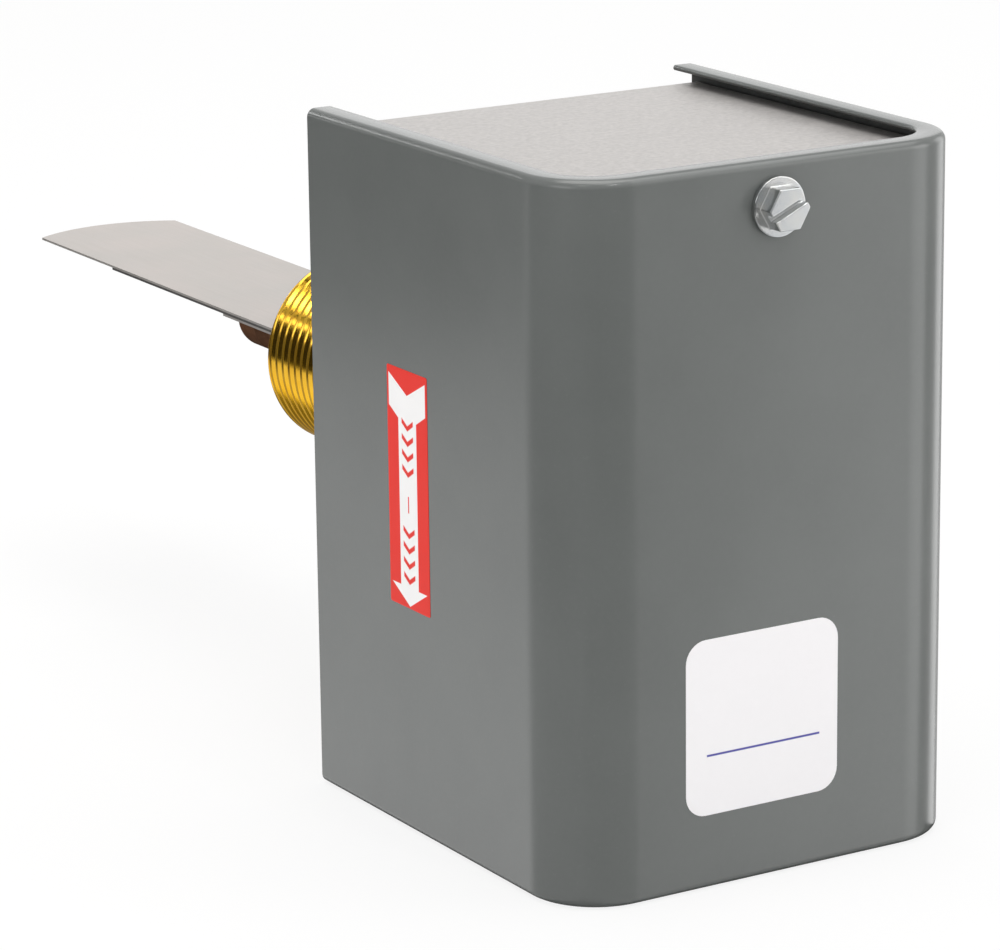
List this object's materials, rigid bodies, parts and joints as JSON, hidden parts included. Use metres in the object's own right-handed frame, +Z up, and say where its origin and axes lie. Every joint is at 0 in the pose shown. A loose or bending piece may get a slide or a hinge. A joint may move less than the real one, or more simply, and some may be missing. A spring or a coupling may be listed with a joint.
{
  "type": "paddle flow switch",
  "caption": "Flow switch: grey-painted box with a lift-off cover on a brass pipe body, a paddle arm through its bore and a range spring and snap switch inside.",
  "frame": {"origin": "on the pipe thread's axis, in its hand-tight plane, 10.2 mm in from the thread's end", "axes": "+Y along the pipe thread, pointing out of the case into the pipe; +Z up, from the conduit end to the cover screw's end; +X to the right of someone facing the cover. Flow against the paddle runs towards -Z."},
  "size_m": [0.0746, 0.2341, 0.113],
  "materials": {
    "cover_paint": "semi-gloss paint with fine orange peel",
    "galvanised_steel": "matt galvanised sheet",
    "zinc_plate": "bright zinc plate",
    "brass": "machined brass",
    "bronze": "dull dark bronze",
    "bellows_bronze": "thin phosphor bronze",
    "paddle_steel": "plain stainless shim",
    "spring_steel": "drawn wire",
    "phenolic": "moulded phenolic",
    "phenolic_brown": "laminate sheet",
    "contact_brass": "stamped brass strip",
    "green_enamel": "green enamel"
  },
  "bodies": {
    "base": {"back_frame": "galvanised_steel", "brass_body": "brass", "body_locknut": "zinc_plate", "pivot_pin": "spring_steel", "mechanism_bracket": "galvanised_steel", "bracket_screws": "zinc_plate", "ground_screw": "green_enamel", "switch_body": "phenolic", "switch_cover": "phenolic_brown", "switch_cover_screws": "zinc_plate", "switch_screws": "zinc_plate", "common_terminal": "contact_brass", "upper_contact": "contact_brass", "lower_contact": "contact_brass", "terminal_screws": "contact_brass"},
    "paddle": {"paddle_arm": "bronze", "long_paddle": "paddle_steel", "medium_paddle": "paddle_steel", "short_paddle": "paddle_steel", "paddle_screws": "paddle_steel", "main_lever": "galvanised_steel", "lever_washer": "zinc_plate", "lever_nut": "zinc_plate", "spring_stud": "zinc_plate", "bellows": "bellows_bronze"},
    "plunger": {"switch_plunger": "phenolic_brown"},
    "blade": {"contact_blade": "contact_brass"},
    "adjuster": {"range_screw": "zinc_plate", "screw_clip": "spring_steel"},
    "spring_seat": {"spring_nut": "brass", "range_spring": "spring_steel"},
    "cover": {"cover": "cover_paint"},
    "cover_screw": {"cover_screw": "zinc_plate"}
  },
  "joints": [
    {"name": "paddle_pivot", "type": "hinge", "parent": "base", "child": "paddle", "pos_m": [0, -0.054, 0], "axis": [-1, 0, 0], "range_deg": [0, 6], "stiffness_Nm_per_rad": 1.2, "springref_deg": -8.59, "deforming": ["bellows", "range_spring"]},
    {"name": "plunger_travel", "type": "slide", "parent": "base", "child": "plunger", "axis": [0, 0, 1], "range_m": [0, 0.0016], "stiffness_N_per_m": 0.2, "springref_m": 0.009},
    {"name": "blade_flex", "type": "hinge", "parent": "base", "child": "blade", "pos_m": [0, -0.086, -0.0243], "axis": [1, 0, 0], "range_deg": [0, 5.4], "stiffness_Nm_per_rad": 0.0001, "springref_deg": 28.07},
    {"name": "adjuster_turn", "type": "hinge", "parent": "base", "child": "adjuster", "pos_m": [0, -0.1095, 0.028], "axis": [0, 1, 0], "range_deg": [-1800, 1800]},
    {"name": "spring_nut_travel", "type": "slide", "parent": "base", "child": "spring_seat", "axis": [0, -1, 0], "range_m": [-0.00397, 0.00397], "deforming": ["range_spring"]},
    {"name": "cover_off", "type": "slide", "parent": "base", "child": "cover", "axis": [0, -1, 0], "range_m": [0, 0.09]},
    {"name": "cover_screw_turn", "type": "hinge", "parent": "cover", "child": "cover_screw", "pos_m": [0, -0.1215, 0.0478], "axis": [0, 1, 0], "continuous": true}
  ],
  "couplings": [
    {"joint": "plunger_travel", "follows": "paddle_pivot", "m_per_rad": 0.015},
    {"joint": "blade_flex", "follows": "paddle_pivot", "ratio": 0.88235},
    {"joint": "adjuster_turn", "follows": "spring_nut_travel", "rad_per_m": 7915.3}
  ]
}
